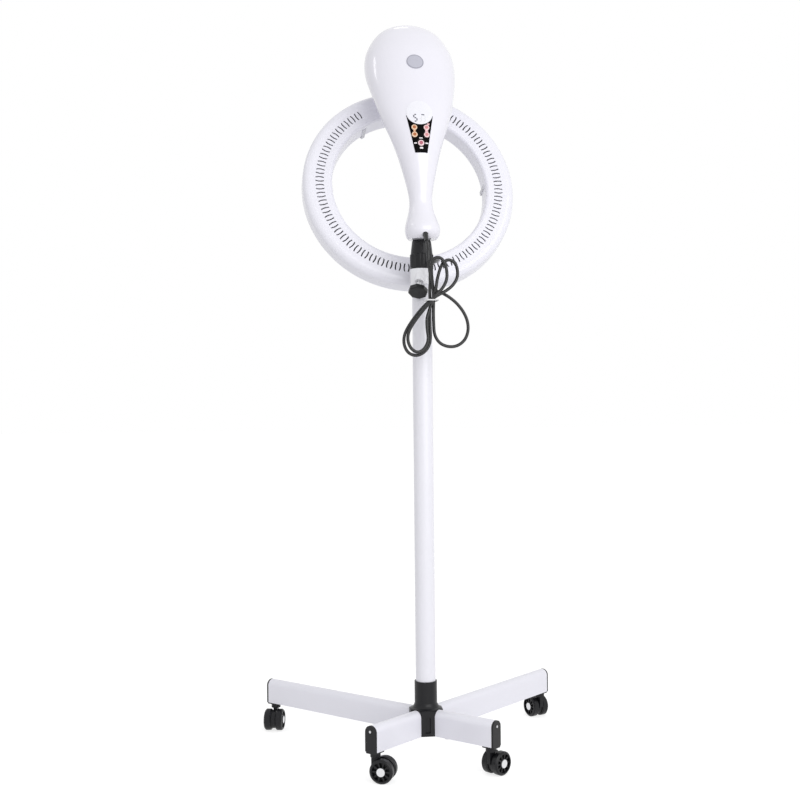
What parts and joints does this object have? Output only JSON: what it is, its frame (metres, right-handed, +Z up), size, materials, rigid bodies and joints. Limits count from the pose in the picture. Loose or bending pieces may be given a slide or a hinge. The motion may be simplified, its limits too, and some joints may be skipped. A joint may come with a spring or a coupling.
{
  "type": "hair colour processor",
  "caption": "Rolling ring heater for hair colour: a tilted heating ring orbits a gourd-shaped head on a height-adjustable pole with a low caster base.",
  "frame": {"origin": "on the floor under the pole's axis", "axes": "+Z up along the pole, +Y towards the client on the ring's side, so the operator's panel faces -Y, and +X to the operator's right"},
  "size_m": [0.6177, 0.4508, 1.4503],
  "materials": {
    "shell_white": "glossy",
    "ring_white": "satin",
    "black_plastic": "matt",
    "collar_white": "satin",
    "leg_paint": "gloss white paint",
    "pole_paint": "gloss white paint",
    "mast_chrome": "chromed",
    "caster_black": "matt",
    "wheel_grey": "matt",
    "caster_steel": "zinc plated",
    "screw_steel": "zinc plated",
    "frame_steel": "powder coated",
    "panel_black": "gloss film",
    "display_glass": "clear window",
    "badge_film": "printed film",
    "board_green": "solder mask",
    "motor_metal": "zinc plated",
    "bearing_plastic": "matt",
    "cord_black": "matt",
    "pin_brass": "nickel plated",
    "tie_white": "matt",
    "reflector_metal": "polished",
    "quartz": "frosted quartz",
    "holder_ceramic": "matt",
    "guard_wire": "chromed",
    "button_orange": "satin",
    "button_pink": "satin",
    "button_red": "satin"
  },
  "bodies": {
    "stand": {"base_hub": "black_plastic", "pole": "pole_paint", "front_left_leg": "leg_paint", "front_right_leg": "leg_paint", "rear_left_leg": "leg_paint", "rear_right_leg": "leg_paint", "leg_end_caps": "black_plastic", "base_screws": "screw_steel", "clamp_collar": "collar_white"},
    "clamp": {"clamp_knob": "black_plastic", "clamp_screw": "screw_steel"},
    "mast": {"mast_tube": "mast_chrome"},
    "head": {"fluted_sleeve": "black_plastic", "head_frame": "frame_steel", "rear_shell": "shell_white", "front_shell": "shell_white", "control_panel": "panel_black", "display_window": "display_glass", "badge_disc": "badge_film", "shell_screws": "screw_steel", "circuit_board": "board_green", "gear_motor": "motor_metal", "slip_ring": "bearing_plastic", "orbit_bush": "bearing_plastic", "cord_gland": "cord_black", "power_cord": "cord_black", "cord_tie": "tie_white", "plug_body": "cord_black", "plug_pins": "pin_brass"},
    "ring": {"orbit_shaft": "screw_steel", "orbit_hub": "ring_white", "ring_rear_cover": "ring_white", "ring_front_cover": "ring_white", "ring_reflector": "reflector_metal", "heater_tubes": "quartz", "heater_holders": "holder_ceramic", "wire_guard": "guard_wire", "guard_clips": "holder_ceramic", "ring_screws": "screw_steel"},
    "power_button": {"power_button": "button_orange"},
    "time_button": {"time_button": "button_orange"},
    "heat_button": {"heat_button": "button_pink"},
    "speed_button": {"speed_button": "button_pink"},
    "stop_button": {"stop_button": "button_red"},
    "front_left_caster": {"front_left_caster_hood": "caster_black", "front_left_caster_axle": "caster_steel"},
    "front_left_wheel_left": {"front_left_wheel_left": "wheel_grey"},
    "front_left_wheel_right": {"front_left_wheel_right": "wheel_grey"},
    "front_right_caster": {"front_right_caster_hood": "caster_black", "front_right_caster_axle": "caster_steel"},
    "front_right_wheel_left": {"front_right_wheel_left": "wheel_grey"},
    "front_right_wheel_right": {"front_right_wheel_right": "wheel_grey"},
    "rear_left_caster": {"rear_left_caster_hood": "caster_black", "rear_left_caster_axle": "caster_steel"},
    "rear_left_wheel_left": {"rear_left_wheel_left": "wheel_grey"},
    "rear_left_wheel_right": {"rear_left_wheel_right": "wheel_grey"},
    "rear_right_caster": {"rear_right_caster_hood": "caster_black", "rear_right_caster_axle": "caster_steel"},
    "rear_right_wheel_left": {"rear_right_wheel_left": "wheel_grey"},
    "rear_right_wheel_right": {"rear_right_wheel_right": "wheel_grey"}
  },
  "joints": [
    {"name": "mast_height", "type": "slide", "parent": "stand", "child": "mast", "axis": [0, 0, 1], "range_m": [0, 0.3]},
    {"name": "head_swivel", "type": "hinge", "parent": "mast", "child": "head", "pos_m": [0, 0, 1], "axis": [0, 0, 1], "range_deg": [-90, 90]},
    {"name": "ring_orbit", "type": "hinge", "parent": "head", "child": "ring", "pos_m": [0, 0.125, 1.3493], "axis": [0, 0.7071, -0.7071], "continuous": true},
    {"name": "clamp_turn", "type": "hinge", "parent": "stand", "child": "clamp", "pos_m": [-0.00459, -0.01195, 0.937], "axis": [-0.1899, -0.4947, -0.848], "range_deg": [0, 360]},
    {"name": "power_button_press", "type": "slide", "parent": "head", "child": "power_button", "axis": [0, 0.9759, -0.2181], "range_m": [0, 0.0008], "stiffness_N_per_m": 1500},
    {"name": "time_button_press", "type": "slide", "parent": "head", "child": "time_button", "axis": [0, 0.9759, -0.2181], "range_m": [0, 0.0008], "stiffness_N_per_m": 1500},
    {"name": "heat_button_press", "type": "slide", "parent": "head", "child": "heat_button", "axis": [0, 0.9759, -0.2181], "range_m": [0, 0.0008], "stiffness_N_per_m": 1500},
    {"name": "speed_button_press", "type": "slide", "parent": "head", "child": "speed_button", "axis": [0, 0.9759, -0.2181], "range_m": [0, 0.0008], "stiffness_N_per_m": 1500},
    {"name": "stop_button_press", "type": "slide", "parent": "head", "child": "stop_button", "axis": [0, 0.9759, -0.2181], "range_m": [0, 0.0008], "stiffness_N_per_m": 1500},
    {"name": "front_left_caster_swivel", "type": "hinge", "parent": "stand", "child": "front_left_caster", "pos_m": [-0.27033, 0.30023, 0.055], "axis": [0, 0, 1], "continuous": true},
    {"name": "front_left_wheel_left_roll", "type": "hinge", "parent": "front_left_caster", "child": "front_left_wheel_left", "pos_m": [-0.27446, 0.28581, 0.022], "axis": [0.9613, -0.2756, 0], "continuous": true},
    {"name": "front_left_wheel_right_roll", "type": "hinge", "parent": "front_left_caster", "child": "front_left_wheel_right", "pos_m": [-0.27446, 0.28581, 0.022], "axis": [0.9613, -0.2756, 0], "continuous": true},
    {"name": "front_right_caster_swivel", "type": "hinge", "parent": "stand", "child": "front_right_caster", "pos_m": [0.30023, 0.27033, 0.055], "axis": [0, 0, 1], "continuous": true},
    {"name": "front_right_wheel_left_roll", "type": "hinge", "parent": "front_right_caster", "child": "front_right_wheel_left", "pos_m": [0.2951, 0.28442, 0.022], "axis": [-0.9397, -0.342, 0], "continuous": true},
    {"name": "front_right_wheel_right_roll", "type": "hinge", "parent": "front_right_caster", "child": "front_right_wheel_right", "pos_m": [0.2951, 0.28442, 0.022], "axis": [-0.9397, -0.342, 0], "continuous": true},
    {"name": "rear_left_caster_swivel", "type": "hinge", "parent": "stand", "child": "rear_left_caster", "pos_m": [-0.11147, -0.10037, 0.055], "axis": [0, 0, 1], "continuous": true},
    {"name": "rear_left_wheel_left_roll", "type": "hinge", "parent": "rear_left_caster", "child": "rear_left_wheel_left", "pos_m": [-0.09777, -0.10647, 0.022], "axis": [0.4067, 0.9135, 0], "continuous": true},
    {"name": "rear_left_wheel_right_roll", "type": "hinge", "parent": "rear_left_caster", "child": "rear_left_wheel_right", "pos_m": [-0.09777, -0.10647, 0.022], "axis": [0.4067, 0.9135, 0], "continuous": true},
    {"name": "rear_right_caster_swivel", "type": "hinge", "parent": "stand", "child": "rear_right_caster", "pos_m": [0.10037, -0.11147, 0.055], "axis": [0, 0, 1], "continuous": true},
    {"name": "rear_right_wheel_left_roll", "type": "hinge", "parent": "rear_right_caster", "child": "rear_right_wheel_left", "pos_m": [0.1125, -0.10265, 0.022], "axis": [-0.5878, 0.809, 0], "continuous": true},
    {"name": "rear_right_wheel_right_roll", "type": "hinge", "parent": "rear_right_caster", "child": "rear_right_wheel_right", "pos_m": [0.1125, -0.10265, 0.022], "axis": [-0.5878, 0.809, 0], "continuous": true}
  ]
}
